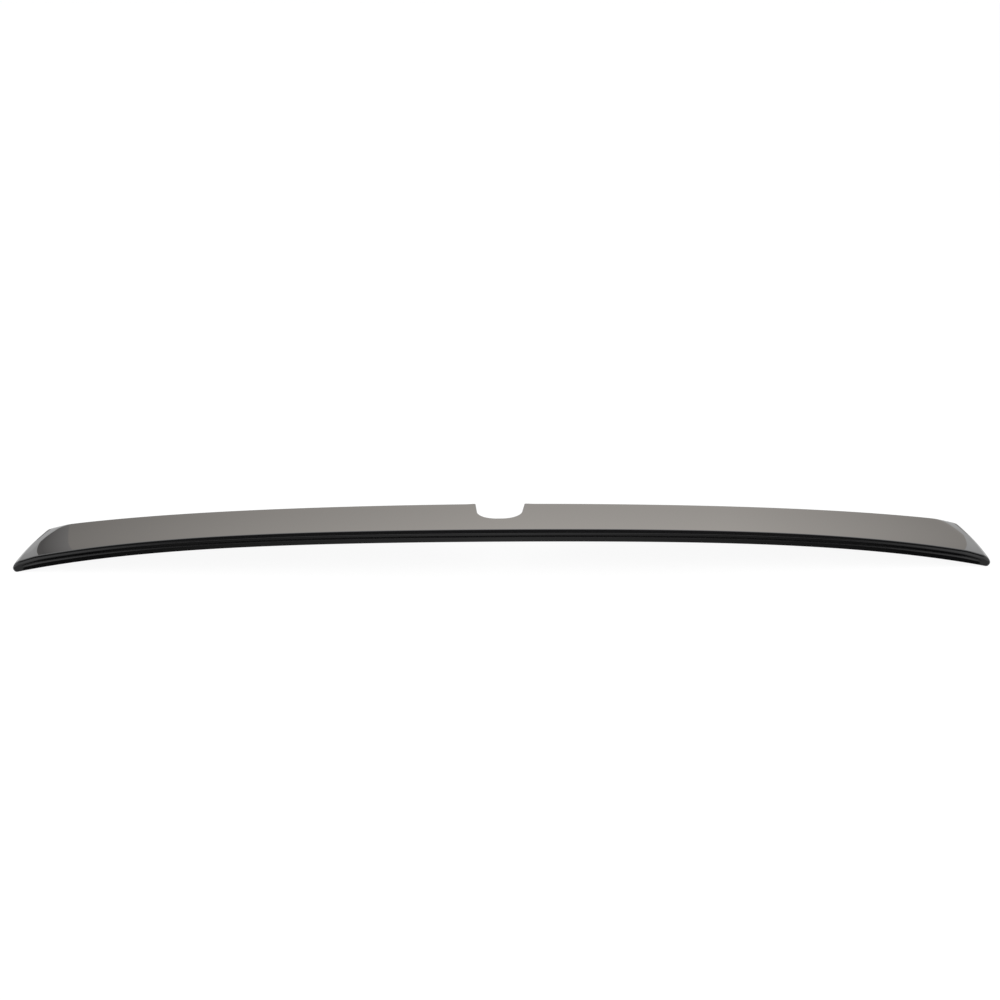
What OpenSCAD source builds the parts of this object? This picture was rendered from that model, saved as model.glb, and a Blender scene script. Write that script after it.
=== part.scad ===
// Roof spoiler for the top of a saloon's rear window, moulded in one piece.
// X runs across the car, +Y is forward and +Z is up. The part stands on its two ends like a low arch.
// A fore and aft distance y is measured forward from the rearmost line of the lip.
// A height h is measured up from the bonding face, which is the arched lower surface.

/* [Plan] */
// Width of the trailing lip from tip to tip
span = 1180; // [1000:5:1300]
// Fore and aft length at the middle
chord = 118; // [100:1:140]
// How far the lip's tips stand forward of its middle
lip_sweep = 36; // [10:1:60]
// How far the leading edge bends forward toward its corners
lead_sweep = 36; // [10:1:60]
// How quickly the leading edge bends: 2 is even, more keeps the middle straight
lead_bend = 3; // [2:0.1:4]
// How much each end runs inward from the lip to the leading edge
end_taper = 27; // [10:1:60]
// How full each end is between its two corners: 1 is straight, more is rounder
end_fullness = 1.3; // [1:0.05:2]
// Radius of the rear corner at each tip, seen from above
tip_r = 5; // [2:0.5:10]
// Radius of the leading corners, seen from above
corner_r = 11; // [6:1:24]

/* [Arch] */
// Rise of the lip's lower edge from its tips to the middle
lip_rise = 57; // [25:1:80]
// Rise of the leading edge from its corners to the middle
lead_rise = 43; // [20:1:65]
// Share of the rise that is a plain parabola, the rest falls away near the ends
even_share = 0.58; // [0.3:0.02:0.9]

/* [Section] */
// Height of the trailing lip
lip_h = 16; // [14:0.5:24]
// Thickness of the leading edge
lead_t = 4; // [3:0.25:7]
// Depth of the hollow sweep of the top between the lip and the leading edge
kick = 0.5; // [0:0.1:2]
// Radius of the upper bead of the lip
nose_r = 4.5; // [3:0.25:4.75]
// Height of the upper bead, from the top of the lip to the groove
bead_h = 8; // [7.75:0.25:9]
// Depth of the groove between the two beads
groove_d = 1.4; // [0.6:0.1:2]
// Radius of the lower bead where it meets the groove
low_r = 2.5; // [1.5:0.25:3]
// Radius of the lip's lower edge
edge_r = 1.5; // [0.5:0.25:2]
// Radius of the leading edge's upper corner
lead_r = 2.2; // [1:0.1:2.6]

/* [Ends] */
// Width of the facet that turns down at the lip's tips
facet_w_rear = 31; // [24:1:36]
// Width of the same facet at the leading corners
facet_w_front = 20; // [14:1:24]
// How much narrower it is halfway than it would be with a straight inner line
facet_waist = 11; // [0:1:13]
// How steeply the facet turns down from the top, in degrees
facet_angle = 7; // [4:0.5:10]
// How softly the top rolls into the facet
facet_blend = 4; // [2:0.5:8]
// Radius of the facet's outer edge at the tips
end_r_rear = 9; // [5:0.5:11]
// Radius of the same edge at the leading corners
end_r_front = 1; // [0.5:0.1:1.2]
// Width over which the underside of each end rounds up to the edge
end_foot_w = 4; // [2:0.5:5]
// Height of that rounding at the tips
end_foot_rear = 4; // [1:0.5:5]
// Height of the same rounding at the leading corners
end_foot_front = 0.6; // [0.3:0.1:1]

/* [Underside] */
// Wall between the top and the pocket
wall = 3; // [2.5:0.1:4]
// Thickness of the lip in front of the pocket
lip_wall = 7; // [5:0.5:9]
// Width of the bonding land behind the leading edge
lead_land = 22; // [14:1:30]
// Width of the rim that the pocket leaves round the notch
notch_rim = 10; // [6:1:14]
// Distance from each end to the pocket
end_land = 30; // [24:1:50]
// Draft of the pocket's walls over its depth
draft = 1; // [0.5:0.25:2]

/* [Notch] */
// Width of the notch at the leading edge
notch_mouth = 60; // [58:1:80]
// Width of the notch at its bottom corners
notch_floor = 55; // [50:1:58]
// Depth of the notch from the leading edge
notch_d = 65; // [55:1:70]
// Radius of the bottom corners of the notch, measured across
notch_r = 24.5; // [12:0.5:25]
// How much longer those corners are fore and aft than across
notch_stretch = 1.4; // [1:0.05:1.5]

/* [Hidden] */
half = span / 2;
// Length of each end that has close sections, and how many sections it has
end_zone = 60;
end_steps = 11;
foot_steps = 6;
// Sections between the notch and the ends, on each side
side_steps = 22;
// Points along the top, round the upper bead, round the leading edge and along the pocket's roof
top_steps = 6;
nose_steps = 7;
lead_steps = 3;
roof_steps = 6;
// Angles at which the upper bead rises out of the groove and the lower bead falls into it
nose_under = 215;
low_over = 140;
groove_h = lip_h - bead_h;
// Length over which the groove and the pocket fade in
groove_fade = 15;
pocket_ramp = 6;
// Height of the end wall between its two roundings, and the foot radius of the leading edge
end_wall_min = 0.8;
lead_foot = 0.6;
// How far the cut for the notch runs past the leading edge, and the steps round each bottom corner
cut_over = 20;
notch_steps = 24;

function lerp(a, b, t) = a + (b - a) * t;
function clamp(v) = min(1, max(0, v));
function soft(v) = (v + sqrt(v * v + facet_blend * facet_blend)) / 2;

// How far an arc of radius r has fallen back at a distance d from its tangent line
function arc_gap(r, d) = d < r ? r - sqrt(r * r - (r - d) * (r - d)) : 0;

// Plan lines: the two edges, the end with and without its rounded corners, and the lines between
function rear_y(x) = lip_sweep * pow(x / half, 2);
function front_y(x) = chord + lead_sweep * pow(abs(x) / half, lead_bend);
function full_half(f) = half - end_taper * pow(f, end_fullness);
function end_x(f) = full_half(f) - arc_gap(tip_r, f * chord) - arc_gap(corner_r, (1 - f) * chord);
function end_gap(u, f) = (1 - abs(u)) * end_x(f);
function plan_y(x, f) = lerp(rear_y(x), front_y(x), f);

// Arched bonding face. It stands on the ground along a foot line near each end and rounds up beyond it
foot_u = 1 - end_foot_w / half;
function fall(t) = even_share * pow(t, 2) + (1 - even_share) * pow(t, 4);
function base_z(x, f) = lerp(lip_rise, lead_rise, f) * max(0, 1 - fall(x / foot_u / full_half(f)));
function low_h(u, f) = lerp(end_foot_rear, end_foot_front, f)
    * arc_gap(end_foot_w, (1 - abs(u)) * half) / end_foot_w;

// Height of the top over the bonding face, first along the middle, then with the end facets
function mid_h(f) = lerp(lip_h, lead_t, f) - 4 * kick * f * (1 - f);
function facet_w(f) = lerp(facet_w_rear, facet_w_front, f) - 4 * facet_waist * f * (1 - f);
function facet_drop(d, f) = tan(facet_angle) * soft(facet_w(f) - d);
function edge_drop(d, f) = arc_gap(lerp(end_r_rear, end_r_front, f), d);
function top_h(u, f) = max(
    low_h(u, f) + end_wall_min,
    mid_h(f) - facet_drop(end_gap(u, f), f) - edge_drop(end_gap(u, f), f)
);

// A point of the section at u, which runs from -1 to 1 across the part
function place(u, y, h) = let (f = y / chord, x = u * end_x(f))
    [x, plan_y(x, f) - reach_y / 2, base_z(x, f) + h];

// Slope of the top where the upper bead meets it, and the bead's centre height
nose_lean = atan((lip_h - lead_t + 4 * kick) / chord);
nose_end_y = nose_r * (1 + sin(nose_lean));
nose_h = mid_h(nose_end_y / chord) - nose_r * cos(nose_lean);
function arc(cy, ch, r, from, to, steps) = [
    for (i = [0:steps]) let (a = lerp(from, to, i / steps)) [cy + r * cos(a), ch + r * sin(a)]
];

// Outline from the lip's lower edge, up the two beads, along the top and round the leading edge
beads = concat(
    arc(low_r, groove_h - low_r * sin(low_over) - edge_r / 2, low_r, 180, low_over, 2),
    [[groove_d, groove_h]],
    arc(nose_r, nose_h, nose_r, nose_under, 90 - nose_lean, nose_steps)
);
function lip_line(groove_share) = concat(
    arc(edge_r, edge_r, edge_r, 270, 180, 2),
    [for (p = beads) [p[0] * (p[1] < nose_h ? groove_share : 1), p[1]]]
);
lead_start = chord - corner_r;
top_line = concat(
    [for (i = [1:top_steps]) let (y = lerp(nose_end_y, lead_start, i / top_steps)) [y, mid_h(y / chord)]],
    [for (s = [0.7, 0.4]) let (y = chord - s * corner_r) [y, mid_h(y / chord)]]
);
lead_line = concat(
    arc(chord - lead_r, lead_t - lead_r, lead_r, 90, 0, lead_steps),
    [[chord, lead_foot], [chord - lead_foot, 0]]
);
reach_y = max([for (p = lead_line) plan_y(end_x(p[0] / chord), p[0] / chord)]);
function outer(u) = [
    for (p = concat(lip_line(clamp(end_gap(u, 0) / groove_fade)), top_line, lead_line))
        let (f = p[0] / chord) place(u, p[0], lerp(low_h(u, f), top_h(u, f), p[1] / mid_h(f)))
];

// Notch outline before its stretch, measured from the leading edge: two round bottom corners and straight
// sides that touch them
corner_x = notch_floor / 2 - notch_r;
corner_y = notch_r - notch_d / notch_stretch;
mouth_x = notch_mouth / 2;
side_len = sqrt(pow(mouth_x - corner_x, 2) + pow(corner_y, 2));
side_angle = atan2(-corner_y, mouth_x - corner_x) - acos(notch_r / side_len);
side_dir = [cos(side_angle), sin(side_angle)];
notch_side = concat(
    arc(corner_x, corner_y, notch_r, -90, side_angle, notch_steps),
    [[mouth_x - cut_over * tan(side_angle), cut_over]]
);
notch_outline = concat(notch_side, [for (i = [notch_steps + 1:-1:0]) [-notch_side[i][0], notch_side[i][1]]]);

// Pocket in the underside: its front line bends round the notch
rim_r = notch_r + notch_rim;
rim_touch = [corner_x, corner_y] + rim_r * side_dir;
pocket_front = chord - lead_land;
rim_out_x = rim_touch[0] + (lead_land / notch_stretch + rim_touch[1]) * tan(side_angle);
function rim_line(x) = x < corner_x ? corner_y - rim_r
    : x < rim_touch[0] ? corner_y - sqrt(pow(rim_r, 2) - pow(x - corner_x, 2))
    : lerp(rim_touch[1], -lead_land / notch_stretch, clamp((x - rim_touch[0]) / (rim_out_x - rim_touch[0])));
function rim_y(x) = chord + notch_stretch * rim_line(x);
function pocket_share(u) = clamp((end_gap(u, 0) - end_land) / pocket_ramp);
function roof_h(u, y) = lerp(low_h(u, y / chord), top_h(u, y / chord) - wall, pocket_share(u));
function land(u, y) = place(u, y, low_h(u, y / chord));
function under(u) = let (front = min(pocket_front, rim_y(abs(u) * half))) concat(
    [land(u, front)],
    [
        for (i = [0:roof_steps]) let (y = lerp(front - draft, lip_wall + draft, i / roof_steps))
            place(u, y, roof_h(u, y))
    ],
    [land(u, lip_wall)]
);

// Where the sections stand across one side: round the notch, along the side and close at the end
rim_angles = [for (i = [0:4]) 18 * i];
notch_xs = concat(
    [for (a = rim_angles) corner_x + rim_r * sin(a)],
    [rim_touch[0], (rim_touch[0] + rim_out_x) / 2, rim_out_x]
);
side_xs = [for (i = [1:side_steps]) lerp(rim_out_x, half - end_zone, i / side_steps)];
end_xs = [for (i = [1:end_steps]) half - lerp(end_foot_w, end_zone, pow(1 - i / end_steps, 2))];
foot_xs = [for (i = [1:foot_steps]) half - end_foot_w * (1 - sin(90 * i / foot_steps))];
one_side = concat(notch_xs, side_xs, end_xs, foot_xs) / half;
sections = concat(
    [for (i = [len(one_side) - 1:-1:0]) -one_side[i]],
    [0],
    one_side
);

// Skin over the sections, closed by a cap at each end
outer_n = len(outer(0));
under_n = len(under(0));
ring_n = outer_n + under_n;
last = (len(sections) - 1) * ring_n;
skin_points = [for (u = sections) each concat(outer(u), under(u))];
skin_faces = [
    for (i = [0:len(sections) - 2]) for (j = [0:ring_n - 1])
        let (a = i * ring_n + j, b = i * ring_n + (j + 1) % ring_n, c = b + ring_n, d = a + ring_n)
            each [[a, b, c], [a, c, d]]
];
function step_to(i) = round(i * (under_n - 1) / (outer_n - 1));
function low(i) = ring_n - 1 - step_to(i);
cap_faces = [
    for (i = [0:outer_n - 2])
        each concat([[i, i + 1, low(i)]], low(i + 1) < low(i) ? [[i + 1, low(i + 1), low(i)]] : [])
];
left_cap = [for (t = cap_faces) [t[0], t[2], t[1]]];
right_cap = [for (t = cap_faces) [t[0] + last, t[1] + last, t[2] + last]];

module moulding() {
    polyhedron(points = skin_points, faces = concat(left_cap, skin_faces, right_cap), convexity = 6);
}

module notch_cutter() {
    translate([0, chord - reach_y / 2, -1])
        scale([1, notch_stretch, 1])
            linear_extrude(height = lip_rise + lip_h + cut_over)
                polygon(notch_outline);
}

module spoiler_shell() {
    color([0.05, 0.05, 0.055])
        difference() {
            moulding();
            notch_cutter();
        }
}

spoiler_shell();
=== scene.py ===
"""Roof spoiler moulded in one piece and painted gloss black, on a pale studio floor.

X runs across the car, +Y is forward, toward the leading edge, and +Z is up. Every size is in metres.
A fore and aft distance y is measured forward from the rearmost line of the lip, and a height h is
measured up from the bonding face, which is the arched lower surface that meets the roof.
"""

import logging
import math
from dataclasses import dataclass
from enum import Enum

import bmesh
import bpy
from mathutils import Matrix, Vector


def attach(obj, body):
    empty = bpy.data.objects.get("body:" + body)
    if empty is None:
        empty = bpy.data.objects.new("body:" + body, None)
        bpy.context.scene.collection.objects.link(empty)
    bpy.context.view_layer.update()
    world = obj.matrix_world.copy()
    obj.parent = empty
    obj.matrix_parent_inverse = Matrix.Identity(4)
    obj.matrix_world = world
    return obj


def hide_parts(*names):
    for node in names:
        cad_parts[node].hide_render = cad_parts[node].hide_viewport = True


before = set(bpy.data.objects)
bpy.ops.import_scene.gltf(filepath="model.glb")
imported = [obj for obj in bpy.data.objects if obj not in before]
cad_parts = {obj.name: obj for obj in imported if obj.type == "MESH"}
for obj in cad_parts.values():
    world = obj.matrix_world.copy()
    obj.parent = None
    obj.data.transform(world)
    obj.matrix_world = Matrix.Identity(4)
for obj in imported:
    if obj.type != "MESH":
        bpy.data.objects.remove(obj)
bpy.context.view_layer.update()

log = logging.getLogger("roof_spoiler")

PICTURE_PIXELS = 1000
MICRON = 1e-6

Plan = tuple[float, float]
Range = tuple[float, float]


def blend(a: float, b: float, share: float) -> float:
    """Returns the value a given share of the way from a to b."""
    return a + (b - a) * share


def clamp(value: float) -> float:
    """Returns the value held between 0 and 1."""
    return min(1.0, max(0.0, value))


def ease(value: float) -> float:
    """Returns a smooth step of a value from 0 to 1."""
    share = clamp(value)
    return share * share * (3.0 - 2.0 * share)


def arc_gap(radius: float, distance: float) -> float:
    """Returns how far an arc has fallen back from its tangent line.

    Args:
        radius: radius of the arc.
        distance: distance from the place where the arc has turned by a quarter.

    Returns:
        The fall, which is the radius at distance 0 and nothing beyond the radius.
    """
    if distance >= radius:
        return 0.0
    rest = radius - max(0.0, distance)
    return radius - math.sqrt(max(0.0, radius * radius - rest * rest))


def corner(radius: float, degrees: float) -> tuple[float, float]:
    """Returns how far a rounded corner stands back from its wall and from its top at an angle."""
    a = math.radians(degrees)
    return radius * (1 - math.cos(a)), radius * (1 - math.sin(a))


def arc(centre: Plan, radius: float, start: float, end: float, steps: int) -> list[Plan]:
    """Returns points on an arc.

    Args:
        centre: centre of the arc.
        radius: radius of the arc.
        start: angle of the first point, in degrees.
        end: angle of the last point, in degrees.
        steps: number of steps between the two.

    Returns:
        The points, the first and the last among them.
    """
    angles = [math.radians(blend(start, end, i / steps)) for i in range(steps + 1)]
    return [(centre[0] + radius * math.cos(a), centre[1] + radius * math.sin(a)) for a in angles]


class Finish(Enum):
    """Which finish a face of the shell carries, by the number of its material slot."""

    PAINTED = 0
    BARE = 1


class Signal:
    """A shader socket that takes part in sums as a number does."""

    def __init__(self, tree: bpy.types.NodeTree, socket: bpy.types.NodeSocket) -> None:
        """Wraps one output socket of a node tree."""
        self.tree = tree
        self.socket = socket

    def _sum(self, operation: str, first: "Signal | float", second: "Signal | float") -> "Signal":
        """Adds a Math node.

        Args:
            operation: what the node does.
            first: its first value.
            second: its second value.

        Returns:
            The result.
        """
        node = self.tree.nodes.new("ShaderNodeMath")
        node.operation = operation
        for place, value in enumerate((first, second)):
            if isinstance(value, Signal):
                self.tree.links.new(value.socket, node.inputs[place])
            else:
                node.inputs[place].default_value = value
        return Signal(self.tree, node.outputs[0])

    def __add__(self, other: "Signal | float") -> "Signal":
        """Returns the sum."""
        return self._sum("ADD", self, other)

    def __sub__(self, other: "Signal | float") -> "Signal":
        """Returns the difference."""
        return self._sum("SUBTRACT", self, other)

    def __rsub__(self, other: float) -> "Signal":
        """Returns the difference, with the number first."""
        return self._sum("SUBTRACT", other, self)

    def __mul__(self, other: "Signal | float") -> "Signal":
        """Returns the product."""
        return self._sum("MULTIPLY", self, other)

    __radd__ = __add__
    __rmul__ = __mul__

    def at_most(self, other: "Signal | float") -> "Signal":
        """Returns the lower of the two."""
        return self._sum("MINIMUM", self, other)

    def at_least(self, other: "Signal | float") -> "Signal":
        """Returns the higher of the two."""
        return self._sum("MAXIMUM", self, other)


class ShaderBench:
    """An empty material or world whose nodes are laid down one by one."""

    def __init__(self, owner: "bpy.types.Material | bpy.types.World") -> None:
        """Clears the owner's nodes."""
        owner.use_nodes = True
        self.tree = owner.node_tree
        self.tree.nodes.clear()

    def node(self, kind: str, settings: dict | None = None, inputs: dict | None = None) -> bpy.types.Node:
        """Adds one node.

        Args:
            kind: the node's type.
            settings: properties of the node, set before its sockets.
            inputs: values or links of its sockets, by name or number.

        Returns:
            The node.
        """
        made = self.tree.nodes.new(kind)
        for name, value in (settings or {}).items():
            setattr(made, name, value)
        for name, value in (inputs or {}).items():
            if isinstance(value, Signal):
                self.tree.links.new(value.socket, made.inputs[name])
            elif isinstance(value, bpy.types.NodeSocket):
                self.tree.links.new(value, made.inputs[name])
            else:
                made.inputs[name].default_value = value
        return made

    def signal(self, node: bpy.types.Node, output: str) -> Signal:
        """Returns a node's output as a signal."""
        return Signal(self.tree, node.outputs[output])

    def place(self) -> bpy.types.NodeSocket:
        """Returns the piece's own coordinates."""
        return self.node("ShaderNodeTexCoord").outputs["Object"]

    def noise(self, per_metre: float, detail: float) -> Signal:
        """Returns noise.

        Args:
            per_metre: number of its patches to the metre.
            detail: number of finer layers in it.

        Returns:
            The noise, from 0 to 1.
        """
        made = self.node(
            "ShaderNodeTexNoise",
            inputs={"Vector": self.place(), "Scale": per_metre, "Detail": detail},
        )
        return self.signal(made, "Fac")

    def bump(
        self,
        height: Signal,
        depth: float,
        under: bpy.types.NodeSocket | None = None,
    ) -> bpy.types.NodeSocket:
        """Returns a normal that is pushed about by a height.

        Args:
            height: the height, from 0 to 1.
            depth: what a height of 1 stands for, in metres.
            under: a normal to build on.

        Returns:
            The normal.
        """
        inputs = {"Height": height, "Distance": depth, "Strength": 1.0}
        if under is not None:
            inputs["Normal"] = under
        return self.node("ShaderNodeBump", inputs=inputs).outputs["Normal"]

    def tint(self, share: Signal, low: tuple[float, ...], high: tuple[float, ...]) -> bpy.types.NodeSocket:
        """Returns a colour between two colours.

        Args:
            share: share of the way from the first to the second.
            low: the first colour.
            high: the second colour.

        Returns:
            The colour.
        """
        mixed = self.node(
            "ShaderNodeMix",
            {"data_type": "RGBA"},
            {0: share, 6: (*low, 1.0), 7: (*high, 1.0)},
        )
        return mixed.outputs[2]

    def skin(self, inputs: dict) -> None:
        """Ends a material in a Principled shader with these inputs."""
        shader = self.node("ShaderNodeBsdfPrincipled", inputs=inputs)
        self.node("ShaderNodeOutputMaterial", inputs={"Surface": shader.outputs[0]})

    def seen(self) -> Signal:
        """Returns 1 for what the camera sees directly, in gloss or through glass, and 0 otherwise."""
        path = self.node("ShaderNodeLightPath")
        direct = self.signal(path, "Is Camera Ray")
        gloss = self.signal(path, "Is Glossy Ray")
        glass = self.signal(path, "Is Transmission Ray")
        return direct.at_least(gloss).at_least(glass)


@dataclass(frozen=True)
class GlossPaint:
    """Black paint under clear coat: a deep gloss with the faint ripple that a sprayed coat dries to."""

    colour: tuple[float, float, float] = (0.005, 0.005, 0.0055)
    faded: tuple[float, float, float] = (0.007, 0.0068, 0.007)
    base_roughness: float = 0.16
    haze: float = 0.05
    coat_roughness: float = 0.018
    index: float = 1.5
    cloud_per_metre: float = 9.0
    cloud_detail: float = 3.0
    ripple_per_metre: float = 420.0
    ripple_depth: float = 1.1 * MICRON
    wave_per_metre: float = 38.0
    wave_depth: float = 5.0 * MICRON
    ripple_detail: float = 1.0

    def make(self) -> bpy.types.Material:
        """Returns the material."""
        material = bpy.data.materials.new("gloss_black_paint_coat")
        bench = ShaderBench(material)
        cloud = bench.noise(self.cloud_per_metre, self.cloud_detail)
        ripple = bench.bump(bench.noise(self.ripple_per_metre, self.ripple_detail), self.ripple_depth)
        surface = bench.bump(bench.noise(self.wave_per_metre, self.ripple_detail), self.wave_depth, ripple)
        bench.skin({
            "Base Color": bench.tint(cloud, self.colour, self.faded),
            "Roughness": self.base_roughness + self.haze * cloud,
            "IOR": self.index,
            "Specular IOR Level": 0.0,
            "Coat Weight": 1.0,
            "Coat Roughness": self.coat_roughness,
            "Coat IOR": self.index,
            "Normal": surface,
        })
        return material


@dataclass(frozen=True)
class BareMoulding:
    """The moulded black plastic of the underside, satin and lightly grained."""

    colour: tuple[float, float, float] = (0.018, 0.018, 0.019)
    scuffed: tuple[float, float, float] = (0.032, 0.032, 0.033)
    smooth: float = 0.42
    grain_roughness: float = 0.16
    index: float = 1.5
    patch_per_metre: float = 26.0
    patch_detail: float = 4.0
    grain_per_metre: float = 1500.0
    grain_detail: float = 2.0
    grain_depth: float = 18.0 * MICRON

    def make(self) -> bpy.types.Material:
        """Returns the material."""
        material = bpy.data.materials.new("bare_moulding")
        bench = ShaderBench(material)
        patches = bench.noise(self.patch_per_metre, self.patch_detail)
        grain = bench.noise(self.grain_per_metre, self.grain_detail)
        bench.skin({
            "Base Color": bench.tint(patches, self.colour, self.scuffed),
            "Roughness": self.smooth + self.grain_roughness * grain,
            "IOR": self.index,
            "Normal": bench.bump(grain, self.grain_depth),
        })
        return material


@dataclass
class Station:
    """One line of the mesh across the chord, from the lip to the front edge.

    Attributes:
        across: share of the half width at which the line starts in the lip.
        edge: plan point where the line meets the front edge, or None where it follows the end's taper.
        out: direction in which the front edge faces there.
        aim: direction in which the line comes to the edge.
        edge_r: radius of the front edge's upper corner there.
        foot_r: radius of its lower corner.
        rim: plan point of the pocket's front edge on the same line.
        bend: 1 where the line leaves the lip and comes to the edge at set angles, 0 where it runs straight.
    """

    across: float
    edge: Plan | None = None
    out: Plan = (0.0, 1.0)
    aim: Plan = (0.0, 1.0)
    edge_r: float = 0.0022
    foot_r: float = 0.0006
    rim: Plan | None = None
    bend: float = 0.0


@dataclass
class SpoilerShell:
    """The whole moulding: top skin, beaded lip, turned-down ends, notched leading edge and pocket.

    Its right half is a grid that is rolled into a closed skin. A station is one line of the grid across
    the chord, a row is one line of it along the car's width, and the left half mirrors the right one.
    """

    # Plan
    span: float = 1.180
    chord: float = 0.118
    lip_sweep: float = 0.036
    lead_sweep: float = 0.036
    lead_bend: float = 3.0  # power with which the leading edge bends forward
    end_taper: float = 0.027  # how far an end runs inward from lip to leading edge
    end_fullness: float = 1.3  # 1 is a straight end, more is a rounder one
    tip_r: float = 0.005
    corner_r: float = 0.011
    # Arch
    lip_rise: float = 0.057
    lead_rise: float = 0.043
    even_share: float = 0.58  # share of the rise that is a plain parabola
    # Section
    lip_h: float = 0.016
    lead_t: float = 0.004
    kick: float = 0.0005  # depth of the top's hollow sweep
    nose_r: float = 0.0045
    bead_h: float = 0.008  # height of the upper bead
    groove_d: float = 0.0014
    low_r: float = 0.0025  # radius of the lower bead at the groove
    edge_r: float = 0.0015
    lead_r: float = 0.0022
    # Ends
    facet_w_rear: float = 0.031
    facet_w_front: float = 0.020
    facet_waist: float = 0.011  # how much narrower the facet is halfway
    facet_angle: float = 7.0  # in degrees
    facet_blend: float = 0.004
    end_r_rear: float = 0.009
    end_r_front: float = 0.001
    end_foot_w: float = 0.004  # width over which the underside rounds up to the end
    end_foot_rear: float = 0.004
    end_foot_front: float = 0.0006
    end_wall_min: float = 0.0008  # least height of an end's outer edge
    # Underside
    wall: float = 0.003
    lip_wall: float = 0.007
    lead_land: float = 0.022
    notch_rim: float = 0.010
    end_land: float = 0.030
    draft: float = 0.001  # how far the pocket's walls lean back
    pocket_ramp: float = 0.006  # length over which the pocket deepens from an end land
    pocket_fillet: float = 0.002
    pocket_corner: float = 0.006
    pocket_f: float = 0.05  # share of the chord at which the pocket's ends are measured
    # Notch
    notch_mouth: float = 0.060
    notch_floor: float = 0.055
    notch_d: float = 0.065
    notch_r: float = 0.0245
    notch_stretch: float = 1.4  # fore and aft stretch of the notch's round outline
    mouth_r: float = 0.0012
    notch_edge_r: float = 0.0008
    foot_r: float = 0.0006
    # Beads, with angles in degrees
    nose_under: float = 215.0
    low_over: float = 140.0
    groove_fade: float = 0.015  # length over which the groove starts at an end
    # Mesh
    fan_across: float = 0.25  # share of the lip whose stations fan out round the notch
    aim_pull: float = 0.7  # how strongly a station keeps its angle at the edge
    aim_side: float = 158.0  # angle at which stations come to the notch's side
    aim_mouth: float = 128.0  # the same angle at its mouth
    aim_fade: float = 0.045  # length over which it returns to square beyond the mouth
    aim_square: float = 90.0
    bend_from: float = 0.45  # share of the fan beyond which its stations straighten
    radius_fade: float = 0.012  # length over which the notch's edge radius grows to the leading edge's
    end_zone: float = 0.060  # length at each end over which the stations lie closer
    weld: float = 2 * MICRON  # distance below which two points become one
    top_rows: int = 34

    def __post_init__(self) -> None:
        """Works out what the functions below share."""
        self.half = self.span / 2
        self.foot_across = 1 - self.end_foot_w / self.half
        self.groove_h = self.lip_h - self.bead_h
        self.nose_lean = math.atan((self.lip_h - self.lead_t + 4 * self.kick) / self.chord)
        self.nose_end_y = self.nose_r * (1 + math.sin(self.nose_lean))
        self.nose_h = self.mid_h(self.nose_end_y / self.chord) - self.nose_r * math.cos(self.nose_lean)
        self.corner_x = self.notch_floor / 2 - self.notch_r
        self.corner_y = self.notch_r - self.notch_d / self.notch_stretch
        mouth_x = self.notch_mouth / 2
        side = math.hypot(mouth_x - self.corner_x, self.corner_y)
        touch = math.acos(self.notch_r / side)
        self.side_angle = math.atan2(-self.corner_y, mouth_x - self.corner_x) - touch
        backs = [corner(self.lead_r, angle)[0] for angle in range(0, 91, 30)] + [self.foot_r]
        self.reach = max(self.on_taper(1.0, 1 - back / self.chord)[1] for back in backs)

    # Plan lines
    def rear_y(self, x: float) -> float:
        """Returns the plan line of the lip."""
        return self.lip_sweep * (x / self.half) ** 2

    def front_y(self, x: float) -> float:
        """Returns the plan line of the leading edge."""
        return self.chord + self.lead_sweep * (abs(x) / self.half) ** self.lead_bend

    def full_half(self, f: float) -> float:
        """Returns the half width at share f of the chord, corners not yet rounded."""
        return self.half - self.end_taper * clamp(f) ** self.end_fullness

    def end_x(self, f: float) -> float:
        """Returns the half width at share f of the chord."""
        rear = arc_gap(self.tip_r, f * self.chord)
        front = arc_gap(self.corner_r, (1 - f) * self.chord)
        return self.full_half(f) - rear - front

    def on_taper(self, across: float, f: float) -> Plan:
        """Returns the plan point at a share of the half width and a share of the chord."""
        x = across * self.end_x(f)
        return x, blend(self.rear_y(x), self.front_y(x), f)

    def share_at(self, point: Plan) -> float:
        """Returns the share of the chord at a plan point."""
        rear = self.rear_y(point[0])
        return (point[1] - rear) / (self.front_y(point[0]) - rear)

    # Heights
    def fall(self, t: float) -> float:
        """Returns the share of the rise that is lost at a share t of the half width."""
        return self.even_share * t**2 + (1 - self.even_share) * t**4

    def base_z(self, x: float, f: float) -> float:
        """Returns the height of the bonding arch, which meets the ground at a foot line near each end."""
        share = x / self.foot_across / self.full_half(f)
        return blend(self.lip_rise, self.lead_rise, f) * max(0.0, 1 - self.fall(share))

    def low_h(self, x: float, f: float) -> float:
        """Returns how far the underside has rounded up from the arch, which it does beyond the foot line.

        Args:
            x: place across the car.
            f: share of the chord.

        Returns:
            The height over the arch.
        """
        across = min(1.0, abs(x) / self.end_x(clamp(f)))
        height = blend(self.end_foot_rear, self.end_foot_front, f)
        return height * arc_gap(self.end_foot_w, (1 - across) * self.half) / self.end_foot_w

    def mid_h(self, f: float) -> float:
        """Returns the height of the top over the bonding face along the middle."""
        return blend(self.lip_h, self.lead_t, f) - 4 * self.kick * f * (1 - f)

    def end_gap(self, x: float, f: float) -> float:
        """Returns the distance to the end, inward along x."""
        return self.end_x(f) - abs(x)

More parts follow.
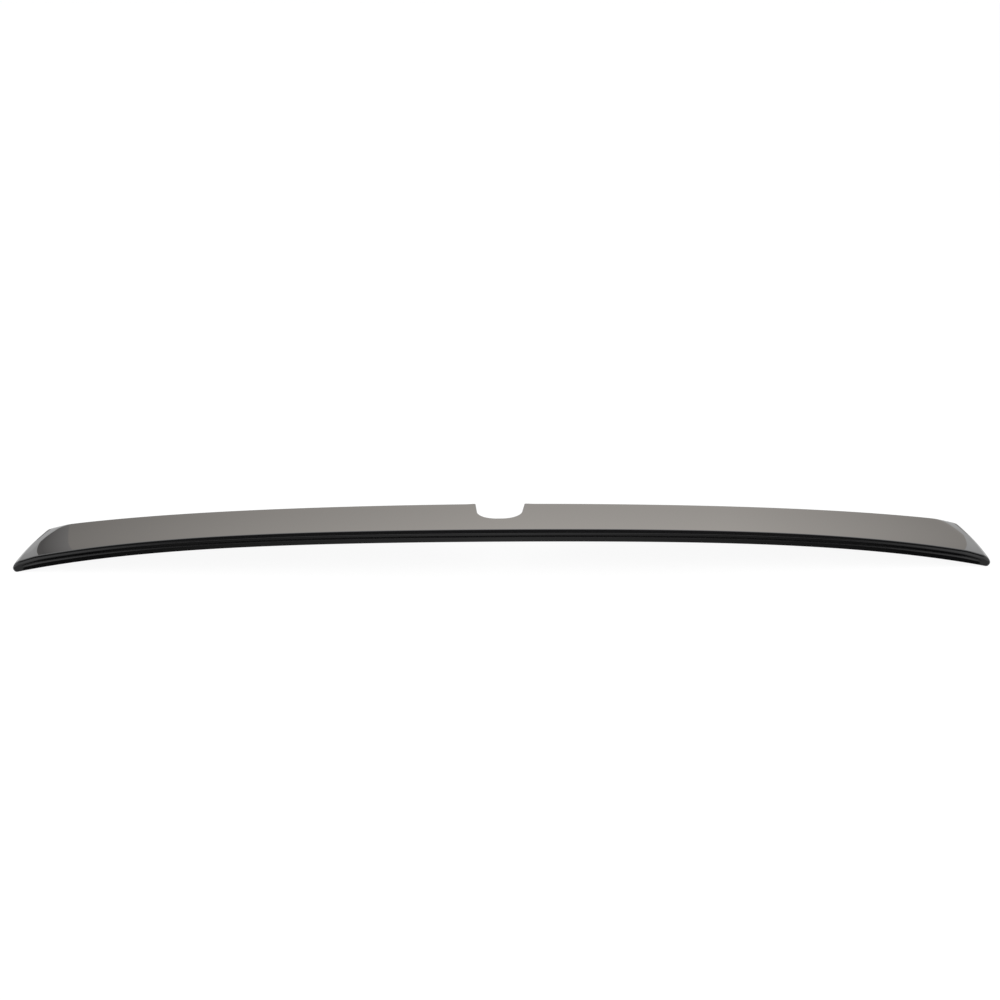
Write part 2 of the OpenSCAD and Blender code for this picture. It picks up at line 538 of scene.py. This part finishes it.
    def top_h(self, x: float, f: float) -> float:
        """Returns the height of the top over the bonding face, facets and all.

        Args:
            x: place across the car.
            f: share of the chord.

        Returns:
            The height, which is never less than that of the end's outer edge.
        """
        gap = self.end_gap(x, f)
        width = blend(self.facet_w_rear, self.facet_w_front, f) - 4 * self.facet_waist * f * (1 - f)
        past = width - gap
        soft = (past + math.hypot(past, self.facet_blend)) / 2
        roll = arc_gap(blend(self.end_r_rear, self.end_r_front, f), gap)
        top = self.mid_h(f) - math.tan(math.radians(self.facet_angle)) * soft - roll
        return max(self.low_h(x, f) + self.end_wall_min, top)

    def lifted(self, point: Plan, h: float) -> Vector:
        """Returns the place of a plan point at a height over the bonding face."""
        f = self.share_at(point)
        return Vector((point[0], point[1] - self.reach / 2, self.base_z(point[0], f) + h))

    def scaled(self, point: Plan, h: float) -> Vector:
        """Returns the place of a point of the full section, which thins toward the ends."""
        f = self.share_at(point)
        return self.lifted(point, blend(self.low_h(point[0], f), self.top_h(point[0], f), h / self.mid_h(f)))

    # Rows of the outer skin
    def lip_profile(self) -> list[tuple[float, float, bool]]:
        """Returns the lip's section.

        Returns:
            Its points from the lower edge to the top, each with whether the groove takes it in.
        """
        # The groove's bottom is blunted: its two sides and its middle stop at these shares of the way.
        side_share, depth_share = 0.8, 0.97
        rise = self.groove_h - self.low_r * math.sin(math.radians(self.low_over)) - self.edge_r / 2
        foot = arc((self.edge_r, self.edge_r), self.edge_r, 270, 180, 5)
        face = [(0.0, blend(self.edge_r, rise, i / 4)) for i in (1, 2, 3)]
        low = arc((self.low_r, rise), self.low_r, 180, self.low_over, 5)
        under = arc((self.nose_r, self.nose_h), self.nose_r, self.nose_under, 180, 4)
        nose = arc((self.nose_r, self.nose_h), self.nose_r, 180, 90 - math.degrees(self.nose_lean), 14)
        deep = (self.groove_d, self.groove_h)
        dip = [
            (blend(low[-1][0], deep[0], side_share), blend(low[-1][1], deep[1], side_share)),
            (depth_share * deep[0], deep[1]),
            (blend(under[0][0], deep[0], side_share), blend(under[0][1], deep[1], side_share)),
        ]
        plain = [(y, h, False) for y, h in foot + face]
        beads = [(y, h, True) for y, h in low + dip + under[:-1]]
        return plain + beads + [(y, h, False) for y, h in nose]

    def lip_point(self, station: Station, y: float, h: float, in_groove: bool) -> Vector:
        """Returns the place of one point of the lip's section.

        Args:
            station: the station on which it lies.
            y: its fore and aft distance.
            h: its height.
            in_groove: whether the groove takes it in.

        Returns:
            The place.
        """
        if in_groove:
            y *= ease(self.end_gap(station.across * self.half, 0.0) / self.groove_fade)
        return self.scaled(self.on_taper(station.across, y / self.chord), h)

    def line(self, station: Station, rear_y: float, front: Plan, share: float) -> Plan:
        """Returns a plan point on the line that a station follows between the lip and a front point.

        Args:
            station: the station.
            rear_y: fore and aft distance at which the line starts.
            front: plan point at which it ends.
            share: share of the way along it.

        Returns:
            The plan point, on a cubic that leaves the lip square on and comes to the edge at the
            station's own angle.
        """
        start = Vector(self.on_taper(station.across, rear_y / self.chord))
        end = Vector(front)
        way = end - start
        leave = way.lerp(Vector((0.0, way.length)), station.bend)
        meet = way.lerp(Vector(station.aim) * (way.length * self.aim_pull), station.bend)
        t, t2, t3 = share, share**2, share**3
        point = (
            start * (2 * t3 - 3 * t2 + 1)
            + leave * (t3 - 2 * t2 + t)
            + end * (3 * t2 - 2 * t3)
            + meet * (t3 - t2)
        )
        return point.x, point.y

    def near_edge(self, station: Station, inward: float) -> Plan:
        """Returns a plan point inside the front edge.

        Args:
            station: the station on which it lies.
            inward: its distance from the edge.

        Returns:
            The plan point.
        """
        if station.edge is None:
            return self.on_taper(station.across, 1 - inward / self.chord)
        return station.edge[0] - station.out[0] * inward, station.edge[1] - station.out[1] * inward

    def top_point(self, station: Station, share: float) -> Vector:
        """Returns a place on the top.

        Args:
            station: the station on which it lies.
            share: share of the way from the nose to the front edge's rounding.

        Returns:
            The place.
        """
        first = self.nose_end_y
        if station.edge is None:
            y = blend(first, self.chord - station.edge_r, share)
            point = self.on_taper(station.across, y / self.chord)
        else:
            point = self.line(station, first, self.near_edge(station, station.edge_r), share)
        return self.scaled(point, self.mid_h(self.share_at(point)))

    def edge_rows(self, station: Station) -> list[Vector]:
        """Returns the front edge's rounding, wall and foot.

        Args:
            station: the station on which they lie.

        Returns:
            The places of the rows, from the top down.
        """
        rows = []
        upper = [corner(station.edge_r, angle) for angle in range(75, -1, -15)]
        lower = [corner(station.foot_r, angle) for angle in range(0, 91, 30)]
        for inward, drop in upper:
            point = self.near_edge(station, inward)
            rows.append(self.scaled(point, self.mid_h(self.share_at(point)) - drop))
        point = self.near_edge(station, 0.0)
        high = self.mid_h(self.share_at(point)) - station.edge_r
        rows += [self.scaled(point, blend(high, station.foot_r, i / 3)) for i in (1, 2)]
        rows += [self.scaled(self.near_edge(station, inward), height) for inward, height in lower]
        return rows

    def outer_rows(self, station: Station) -> list[Vector]:
        """Returns the whole outer section of a station.

        Args:
            station: the station.

        Returns:
            The places of the rows, from the lip's lower edge to the front foot.
        """
        first, last = 0.004, 0.994
        shares = [first] + [i / self.top_rows for i in range(1, self.top_rows)] + [last, 1.0]
        lip = [self.lip_point(station, *row) for row in self.lip_profile()]
        top = [self.top_point(station, share) for share in shares]
        return lip + top + self.edge_rows(station)

    # Rows of the underside
    def pocket_share(self, across: float) -> float:
        """Returns 1 where the pocket has its full depth, falling to 0 at the end lands."""
        gap = self.end_gap(across * self.half, self.pocket_f)
        return clamp((gap - self.end_land) / self.pocket_ramp)

    def pocket_walls(self) -> list[tuple[float, float]]:
        """Returns the section of a pocket wall, which leans back by the draft and ends in a fillet.

        Returns:
            Its points, each a distance in from the wall's foot and a share of the pocket's depth.
        """
        d, r = self.draft, self.pocket_fillet
        return [(0.0, 0.0), (0.2 * d, 0.08), (0.5 * d, 0.4), (0.8 * d, 0.72), (d + 0.15 * r, 0.88),
                (d + 0.5 * r, 0.97), (d + r, 1.0)]

    def under_rows(self, station: Station, count: int, outer: list[Vector]) -> list[Vector]:
        """Returns the underside's section of a station, from the front land back to the lip's land.

        Args:
            station: the station.
            count: number of rows to return.
            outer: the outer section, which the rows line up with at the end itself.

        Returns:
            The places of the rows.
        """
        walls = self.pocket_walls()
        depth_share = self.pocket_share(station.across)
        rim_y = self.chord - self.lead_land
        foot = self.near_edge(station, station.foot_r)
        rim = station.rim or self.on_taper(station.across, rim_y / self.chord)
        out = station.out if station.rim else (0.0, 1.0)
        plan: list[tuple[Plan, float]] = []
        for i in (1, 2, 3):
            plan.append(((blend(foot[0], rim[0], i / 4), blend(foot[1], rim[1], i / 4)), 0.0))
        for inward, share in walls:
            if station.rim:
                point = (rim[0] - out[0] * inward, rim[1] - out[1] * inward)
            else:
                point = self.on_taper(station.across, (rim_y - inward) / self.chord)
            plan.append((point, share))
        roof_rear = self.lip_wall + walls[-1][0]
        roof_front = plan[-1][0]
        roof_count = count - len(plan) - len(walls) - 3
        for i in range(1, roof_count + 1):
            share = 1 - i / (roof_count + 1)
            if station.rim:
                point = self.line(station, roof_rear, roof_front, share)
            else:
                y = blend(roof_rear, rim_y - walls[-1][0], share)
                point = self.on_taper(station.across, y / self.chord)
            plan.append((point, 1.0))
        for inward, share in reversed(walls):
            plan.append((self.on_taper(station.across, (self.lip_wall + inward) / self.chord), share))
        for i in (3, 2, 1):
            y = blend(self.edge_r, self.lip_wall, i / 4)
            plan.append((self.on_taper(station.across, y / self.chord), 0.0))
        level = ease(1 - self.end_gap(station.across * self.half, self.pocket_f) / self.end_land)
        rows = []
        for (point, share), above in zip(plan, reversed(outer[1:-1])):
            f = self.share_at(point)
            low = self.low_h(point[0], f)
            roof = self.top_h(point[0], f) - self.wall
            place = self.lifted(point, blend(low, roof, depth_share * share))
            rows.append(place.lerp(self.footing(above), level))
        return rows

    def footing(self, place: Vector) -> Vector:
        """Returns the place on the underside below a place on the outer skin.

        Args:
            place: the place on the outer skin.

        Returns:
            The place below it, held between the feet of the two edges.
        """
        f = self.share_at((place.x, place.y + self.reach / 2))
        held = min(1 - self.foot_r / self.chord, max(self.edge_r / self.chord, f))
        across = min(1.0, abs(place.x) / self.end_x(clamp(f)))
        return self.scaled(self.on_taper(across, held), 0.0)

    # Stations
    def stretched(self, spot: Vector) -> Vector:
        """Returns the plan place of a spot of the notch's outline before its stretch."""
        return Vector((spot.x, self.chord + self.notch_stretch * spot.y))

    def faced(self, way: Vector) -> Vector:
        """Returns the direction in which the stretched outline faces, where it faced a given way before."""
        return Vector((way.x, way.y / self.notch_stretch)).normalized()

    def notch_stations(self) -> list[Station]:
        """Returns the stations round the notch and along the leading edge beside it."""
        cx, cy, r = self.corner_x, self.corner_y, self.notch_r
        angle = self.side_angle
        side = Vector((math.cos(angle), math.sin(angle)))
        along = Vector((-side.y, side.x))
        touch = Vector((cx, cy)) + side * r
        mouth = Vector((self.notch_mouth / 2, 0.0))
        rim_r = r + self.notch_rim
        rim_touch = Vector((cx, cy)) + side * rim_r
        rim_line = self.chord - self.lead_land
        rim_end = rim_touch + along * ((-self.lead_land / self.notch_stretch - rim_touch.y) / along.y)
        # The mouth's corner is rounded between the notch's side and the leading edge.
        start_turn = math.pi + angle
        end_turn = math.pi / 2
        sweep = start_turn - end_turn
        cut = self.mouth_r * math.tan(sweep / 2)
        side_end = mouth - along * cut
        centre = side_end + side * self.mouth_r
        rim_cut = self.pocket_corner * math.tan(sweep / 2)
        rim_side_end = rim_end - along * rim_cut
        rim_centre = rim_side_end + side * self.pocket_corner
        raw: list[tuple[Vector, Vector, Vector, float, float]] = []
        ahead = Vector((0.0, 1.0))
        for i in range(3):
            x = cx * i / 2
            edge, rim = Vector((x, cy - r)), Vector((x, cy - rim_r))
            raw.append((edge, ahead, rim, self.notch_edge_r, self.aim_square))
        arc_steps = 26
        for i in range(1, arc_steps + 1):
            a = blend(-math.pi / 2, angle, i / arc_steps)
            out = Vector((math.cos(a), math.sin(a)))
            edge, rim = Vector((cx, cy)) + out * r, Vector((cx, cy)) + out * rim_r
            aim = blend(self.aim_square, self.aim_side, ease(i / arc_steps))
            raw.append((edge, -out, rim, self.notch_edge_r, aim))
        side_steps = 16
        for i in range(1, side_steps + 1):
            share = i / side_steps
            rim = rim_touch.lerp(rim_side_end, share)
            aim = blend(self.aim_side, self.aim_mouth, ease(share))
            raw.append((touch.lerp(side_end, share), -side, rim, self.notch_edge_r, aim))
        turn_steps = 6
        for i in range(1, turn_steps + 1):
            a = blend(start_turn, end_turn, i / turn_steps)
            out = Vector((math.cos(a), math.sin(a)))
            rim = rim_centre + out * self.pocket_corner
            raw.append((centre + out * self.mouth_r, out, rim, self.notch_edge_r, self.aim_mouth))
        raw = [
            (self.stretched(edge), self.faced(out), self.stretched(rim), radius, aim)
            for edge, out, rim, radius, aim in raw
        ]
        last_edge = Vector(self.on_taper(self.fan_across, 1.0))
        last_rim = Vector(self.on_taper(self.fan_across, rim_line / self.chord))
        first_edge, first_rim = raw[-1][0].copy(), raw[-1][2].copy()
        lead_steps, crowding = 30, 1.5
        for i in range(1, lead_steps + 1):
            share = (i / lead_steps) ** crowding
            x = blend(first_edge.x, last_edge.x, share)
            rim_x = blend(first_rim.x, last_rim.x, share)
            f = rim_line / self.chord
            rim = Vector((rim_x, blend(self.rear_y(rim_x), self.front_y(rim_x), f)))
            past = x - first_edge.x
            radius = blend(self.notch_edge_r, self.lead_r, ease(past / self.radius_fade))
            aim = blend(self.aim_mouth, self.aim_square, ease(past / self.aim_fade))
            raw.append((Vector((x, self.front_y(x))), ahead, rim, radius, aim))
        lengths = [0.0]
        for before, after in zip(raw, raw[1:]):
            lengths.append(lengths[-1] + (after[0] - before[0]).length)
        stations = []
        for length, (edge, out, rim, radius, aim) in zip(lengths, raw):
            share = length / lengths[-1]
            stations.append(Station(
                across=self.fan_across * share,
                edge=(edge.x, edge.y),
                out=(out.x, out.y),
                aim=(math.cos(math.radians(aim)), math.sin(math.radians(aim))),
                edge_r=radius,
                foot_r=self.foot_r,
                rim=(rim.x, rim.y),
                bend=1 - ease((share - self.bend_from) / (1 - self.bend_from)),
            ))
        return stations

    def side_stations(self) -> list[Station]:
        """Returns the stations from the leading edge's middle part to the end."""
        start = self.fan_across * self.half
        shares = []
        side_steps = 68
        for i in range(1, side_steps + 1):
            shares.append(blend(start, self.half - self.end_zone, i / side_steps) / self.half)
        near_steps = 24
        for i in range(1, near_steps + 1):
            shares.append((self.half - blend(self.end_zone, self.end_r_rear, i / near_steps)) / self.half)
        gaps = [self.end_r_rear * (1 - math.sin(math.radians(angle))) for angle in range(6, 91, 6)]
        # The foot line has a station of its own, and none lies right beside it.
        beside = 0.00015
        gaps = [gap for gap in gaps if abs(gap - self.end_foot_w) > beside] + [self.end_foot_w]
        shares += [1 - gap / self.half for gap in sorted(gaps, reverse=True)]
        return [Station(across=share, edge_r=self.lead_r, foot_r=self.foot_r) for share in shares]

    # Mesh
    def half_mesh(self) -> bmesh.types.BMesh:
        """Returns the right half of the shell, rolled from one flat grid and open at the middle."""
        stations = self.notch_stations() + self.side_stations()
        outer = [self.outer_rows(station) for station in stations]
        count = len(outer[0])
        under = [self.under_rows(s, count - 2, rows) for s, rows in zip(stations, outer)]
        rings = [above + below for above, below in zip(outer, under)]
        # The last ring shuts the end: its outer places are those of the underside right below them.
        below = rings[-1]
        rings.append(below[:1] + [below[2 * count - 2 - i] for i in range(1, count - 1)] + below[count - 1:])
        bm = bmesh.new()
        bmesh.ops.create_grid(bm, x_segments=len(rings[0]), y_segments=len(rings) - 1, size=1.0)
        columns, lines = len(rings[0]), len(rings) - 1
        for face in bm.faces:
            column = (face.calc_center_median().x + 1) / 2 * columns
            face.material_index = (Finish.PAINTED if column < count - 1 else Finish.BARE).value
            face.smooth = True
        seam = {}
        first: dict[int, bmesh.types.BMVert] = {}
        for vert in bm.verts:
            column = round((vert.co.x + 1) / 2 * columns)
            line = round((vert.co.y + 1) / 2 * lines)
            vert.co = rings[line][column % columns]
            if column == 0:
                first[line] = vert
            elif column == columns:
                seam[line] = vert
        bmesh.ops.weld_verts(bm, targetmap={vert: first[line] for line, vert in seam.items()})
        return bm

    def make(self, paint: bpy.types.Material, bare: bpy.types.Material) -> bpy.types.Object:
        """Returns the finished shell.

        Args:
            paint: material of what shows.
            bare: material of the underside.

        Returns:
            The object, at the origin.
        """
        bm = self.half_mesh()
        bmesh.ops.remove_doubles(bm, verts=bm.verts[:], dist=self.weld)
        for vert in bm.verts:
            if abs(vert.co.x) < MICRON / 10:
                vert.co.x = 0.0
        bmesh.ops.mirror(bm, geom=bm.verts[:] + bm.edges[:] + bm.faces[:], axis="X", merge_dist=MICRON)
        bmesh.ops.dissolve_degenerate(bm, edges=bm.edges[:], dist=MICRON)
        bmesh.ops.recalc_face_normals(bm, faces=bm.faces[:])
        mesh = bpy.data.meshes.new("spoiler_shell_skin")
        bm.to_mesh(mesh)
        bm.free()
        mesh.materials.append(paint)
        mesh.materials.append(bare)
        made = bpy.data.objects.new("spoiler_shell_skin", mesh)
        bpy.context.scene.collection.objects.link(made)
        return made


@dataclass
class PhotoCamera:
    """The camera that took the photo, as fitted to the part's outline."""

    focal_pixels: float = 2480.0
    distance: float = 2.9912
    elevation: float = 28.0
    yaw: float = -1.308
    roll: float = -0.963
    aim_pixel: Plan = (498.95, 522.63)
    target: tuple[float, float, float] = (0.0, -0.0115, 0.050)
    sensor_mm: float = 36.0
    nearest: float = 0.05
    farthest: float = 100.0

    def make(self) -> bpy.types.Object:
        """Returns the camera, which becomes the scene's."""
        yaw, rise = math.radians(self.yaw), math.radians(self.elevation)
        look = Vector((math.sin(yaw) * math.cos(rise), math.cos(yaw) * math.cos(rise), -math.sin(rise)))
        place = Vector(self.target) - look * self.distance
        right = look.cross(Vector((0.0, 0.0, 1.0))).normalized()
        up = right.cross(look)
        middle = PICTURE_PIXELS / 2
        ahead = look - right * ((self.aim_pixel[0] - middle) / self.focal_pixels)
        ahead = (ahead + up * ((self.aim_pixel[1] - middle) / self.focal_pixels)).normalized()
        right = ahead.cross(Vector((0.0, 0.0, 1.0))).normalized()
        up = right.cross(ahead)
        lean = math.radians(self.roll)
        across = right * math.cos(lean) + up * math.sin(lean)
        upward = up * math.cos(lean) - right * math.sin(lean)
        data = bpy.data.cameras.new("photo_camera")
        data.sensor_width = self.sensor_mm
        data.lens = data.sensor_width * self.focal_pixels / PICTURE_PIXELS
        data.clip_start, data.clip_end = self.nearest, self.farthest
        made = bpy.data.objects.new("photo_camera", data)
        bpy.context.scene.collection.objects.link(made)
        turn = Matrix((across, upward, -ahead)).transposed()
        made.matrix_world = Matrix.Translation(place) @ turn.to_4x4()
        bpy.context.scene.camera = made
        return made


@dataclass(frozen=True)
class PaleSurface:
    """A pale matt surface that shows its own brightness to the camera and in gloss, and keeps shadows.

    Attributes:
        name: name of the material.
        colour: its colour.
        matt_share: share of the light on it that it sends back.
        glow: brightness that it shows of its own.
        centre: place across the set from which its glow fades to both sides.
        flat: distance from there over which it keeps its full glow.
        fade: further distance over which it fades.
        loss: share of the glow that is gone at the end of the fade, or gained there where it is below 0.
    """

    name: str
    colour: tuple[float, float, float]
    matt_share: float
    glow: float
    centre: float = 0.0
    flat: float = 0.0
    fade: float = 1.0
    loss: float = 0.0

    def level(self, bench: ShaderBench) -> Signal:
        """Returns the glow at each place of the surface."""
        # The glow's change across the set paints shade, or light where the loss is below 0.
        where = bench.node("ShaderNodeSeparateXYZ", inputs={0: bench.place()})
        aside = bench.signal(where, "X") - self.centre
        distance = aside.at_least(0.0 - aside)
        share = ((distance - self.flat) * (1.0 / self.fade)).at_least(0.0).at_most(1.0)
        return self.glow * (1.0 - self.loss * share)

    def make(self) -> bpy.types.Material:
        """Returns the material."""
        material = bpy.data.materials.new(self.name)
        bench = ShaderBench(material)
        matt = bench.node(
            "ShaderNodeBsdfDiffuse",
            inputs={"Color": (*(self.matt_share * c for c in self.colour), 1.0)},
        )
        glow = bench.node(
            "ShaderNodeEmission",
            inputs={"Color": (*self.colour, 1.0), "Strength": self.level(bench) * bench.seen()},
        )
        both = bench.node("ShaderNodeAddShader", inputs={0: matt.outputs[0], 1: glow.outputs[0]})
        bench.node("ShaderNodeOutputMaterial", inputs={"Surface": both.outputs[0]})
        return material


@dataclass(frozen=True)
class Card:
    """A flat card of the studio, which lies level or stands across the set.

    Attributes:
        name: its name.
        stuff: what it is made of.
        across: places of its left and right edges.
        along: places of its other two edges, fore and aft where it lies and in height where it stands.
        at: its height where it lies, and its place fore and aft where it stands.
        standing: whether it stands.
        in_gloss_only: whether nothing but the gloss of the part shows it.
    """

    name: str
    stuff: PaleSurface
    across: Range
    along: Range
    at: float = 0.0
    standing: bool = False
    in_gloss_only: bool = True

    def make(self) -> bpy.types.Object:
        """Returns the card in its place."""
        half_x = (self.across[1] - self.across[0]) / 2
        half_y = (self.along[1] - self.along[0]) / 2
        middle_x, middle_y = sum(self.across) / 2, sum(self.along) / 2
        place = Matrix.Translation((middle_x, middle_y, self.at))
        if self.standing:
            upright = Matrix.Rotation(math.radians(90), 4, "X")
            place = Matrix.Translation((middle_x, self.at, middle_y)) @ upright
        bm = bmesh.new()
        bmesh.ops.create_grid(bm, x_segments=1, y_segments=1, size=1.0)
        bmesh.ops.scale(bm, vec=Vector((half_x, half_y, 1.0)), verts=bm.verts[:])
        bmesh.ops.transform(bm, matrix=place, verts=bm.verts[:])
        mesh = bpy.data.meshes.new(self.name)
        bm.to_mesh(mesh)
        bm.free()
        mesh.materials.append(self.stuff.make())
        made = bpy.data.objects.new(self.name, mesh)
        bpy.context.scene.collection.objects.link(made)
        made.visible_camera = not self.in_gloss_only
        made.visible_diffuse = not self.in_gloss_only
        made.visible_shadow = not self.in_gloss_only
        return made


@dataclass
class Studio:
    """A white floor in a white room, two softboxes, and the walls and cards that the gloss shows."""

    # The walls, panels, cards and flags that only the gloss shows paint the room's light and shade into the
    # reflections.
    floor_half: float = 14.0
    wall_y: float = 5.0
    wall_half: float = 5.5
    low_wall_top: float = 0.6
    high_wall_top: float = 3.2
    left_panel: float = -2.31
    right_panel: float = 2.15
    panel_step: float = 0.02
    shade_width: float = 0.29
    # Where the two cards of painted shade lie on the floor before the part.
    near_x: float = 0.58
    near_y: Range = (-0.45, -0.045)
    near_z: float = 0.0015
    tip_x: float = 0.8
    tip_y: Range = (-0.45, 0.0)
    tip_z: float = 0.001
    # Where the flags hang: dark sheets that only the gloss shows, painted shade in the reflections.
    flag_half: float = 5.5
    flag_over_y: Range = (-6.0, 3.0)
    flag_over_z: float = 4.5
    flag_behind_y: float = -7.0
    flag_behind_z: Range = (0.2, 5.0)
    flag_side_x: Range = (3.0, 9.0)
    flag_side_y: Range = (-1.5, 3.0)
    flag_side_z: float = 4.45
    sky_seen: float = 1.0
    sky_light: float = 0.55
    box_size: float = 2.0
    box_power: float = 60.0
    box_x: float = 2.5
    box_y: float = -1.4
    box_z: float = 1.9

    def cards(self) -> list[Card]:
        """Returns the floor, the wall behind the part with its panels, and the cards round the camera."""
        white, warm, grey = (1.0, 1.0, 1.0), (1.0, 0.945, 0.885), (1.0, 0.97, 0.95)
        floor = PaleSurface("white_floor", white, 0.12, 0.92)
        # The walls' glow falls off from the middle toward both sides, the low wall's most: painted shade,
        # seen only in the gloss.
        low = PaleSurface("low_wall", warm, 0.0, 1.25, centre=0.37, flat=0.41, fade=2.2, loss=0.53)
        high = PaleSurface("high_wall", white, 0.0, 1.3, centre=0.3, flat=0.6, fade=2.0, loss=0.23)
        shade = PaleSurface(
            "corner_shade", grey, 0.0, 0.27, centre=self.left_panel, flat=0.09, fade=0.2, loss=-1.0
        )
        # The right panel glows brighter than the left: painted light and shade in the end facets'
        # reflections, seen only in the gloss.
        left = PaleSurface("left_panel", white, 0.0, 0.92)
        right = PaleSurface("right_panel", white, 0.0, 1.08)
        # Two dim cards on the floor before the part, seen only in the gloss, paint the floor's shade into the
        # reflections of the lip and the ends; the near one darkens to black toward the ends.
        near = PaleSurface("near_shade_card", white, 0.0, 0.53, fade=0.5, loss=1.0)
        tips = PaleSurface("tip_shade_card", white, 0.0, 0.5)
        # A flag is dark and fades to white at its far edges. It blocks no light and shows only in the gloss:
        # painted shade in the reflections.
        dark = 0.02
        gain = 1 - 1 / dark
        soft = PaleSurface("soft_shade_flag", white, 0.0, dark, flat=3.0, fade=2.5, loss=gain)
        aside_left = PaleSurface("left_shade_flag", white, 0.0, dark, centre=-3.0, flat=2.0, fade=4.0, loss=gain)
        aside_right = PaleSurface("right_shade_flag", white, 0.0, dark, centre=3.0, flat=2.0, fade=4.0, loss=gain)
        whole = (-self.floor_half, self.floor_half)
        wall, flag = (-self.wall_half, self.wall_half), (-self.flag_half, self.flag_half)
        bottom, top = (0.0, self.low_wall_top), (self.low_wall_top, self.high_wall_top)
        back = self.wall_y
        shade_y, panel_y = back - self.panel_step, back - 2 * self.panel_step
        shade_x = (self.left_panel, self.left_panel + self.shade_width)
        side_near, side_far = self.flag_side_x
        return [
            Card("floor", floor, whole, whole, in_gloss_only=False),
            Card("low_wall", low, wall, bottom, back, standing=True),
            Card("high_wall", high, wall, top, back, standing=True),
            Card("corner_shade", shade, shade_x, bottom, shade_y, standing=True),
            Card("left_panel", left, (wall[0], self.left_panel), bottom, panel_y, standing=True),
            Card("right_panel", right, (self.right_panel, wall[1]), bottom, panel_y, standing=True),
            Card("near_shade_card", near, (-self.near_x, self.near_x), self.near_y, self.near_z),
            Card("tip_shade_card", tips, (-self.tip_x, self.tip_x), self.tip_y, self.tip_z),
            Card("flag_over", soft, flag, self.flag_over_y, self.flag_over_z),
            Card("flag_behind", soft, flag, self.flag_behind_z, self.flag_behind_y, standing=True),
            Card("flag_left", aside_left, (-side_far, -side_near), self.flag_side_y, self.flag_side_z),
            Card("flag_right", aside_right, (side_near, side_far), self.flag_side_y, self.flag_side_z),
        ]

    def softbox(self, name: str, place: Vector) -> None:
        """Sets up a large square lamp that faces the part.

        Args:
            name: its name.
            place: its place.
        """
        data = bpy.data.lights.new(name, "AREA")
        data.shape = "SQUARE"
        data.size = self.box_size
        data.energy = self.box_power
        made = bpy.data.objects.new(name, data)
        made.matrix_world = Matrix.Translation(place) @ (-place).to_track_quat("-Z", "Y").to_matrix().to_4x4()
        made.visible_glossy = False
        bpy.context.scene.collection.objects.link(made)

    def sky(self) -> None:
        """Sets the room's own light, which shows white behind the set."""
        world = bpy.data.worlds.new("pale_room")
        bench = ShaderBench(world)
        level = self.sky_light + (self.sky_seen - self.sky_light) * bench.seen()
        light = bench.node(
            "ShaderNodeBackground",
            inputs={"Color": (1.0, 1.0, 1.0, 1.0), "Strength": level},
        )
        bench.node("ShaderNodeOutputWorld", inputs={"Surface": light.outputs[0]})
        bpy.context.scene.world = world

    def make(self) -> None:
        """Sets up the whole studio."""
        for card in self.cards():
            card.make()
        for side, x in (("right", self.box_x), ("left", -self.box_x)):
            self.softbox(f"softbox_{side}", Vector((x, self.box_y, self.box_z)))
        self.sky()
        bpy.context.scene.view_settings.view_transform = "Standard"


def main() -> None:
    """Builds the part and its studio."""
    logging.basicConfig(level=logging.INFO, format="%(message)s")
    paint = GlossPaint().make()
    bare = BareMoulding().make()
    shell = SpoilerShell().make(paint, bare)
    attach(shell, "root")
    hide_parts("spoiler_shell")
    log.info("%s: %d faces", shell.name, len(shell.data.polygons))
    Studio().make()
    PhotoCamera().make()


if __name__ == "__main__":
    main()
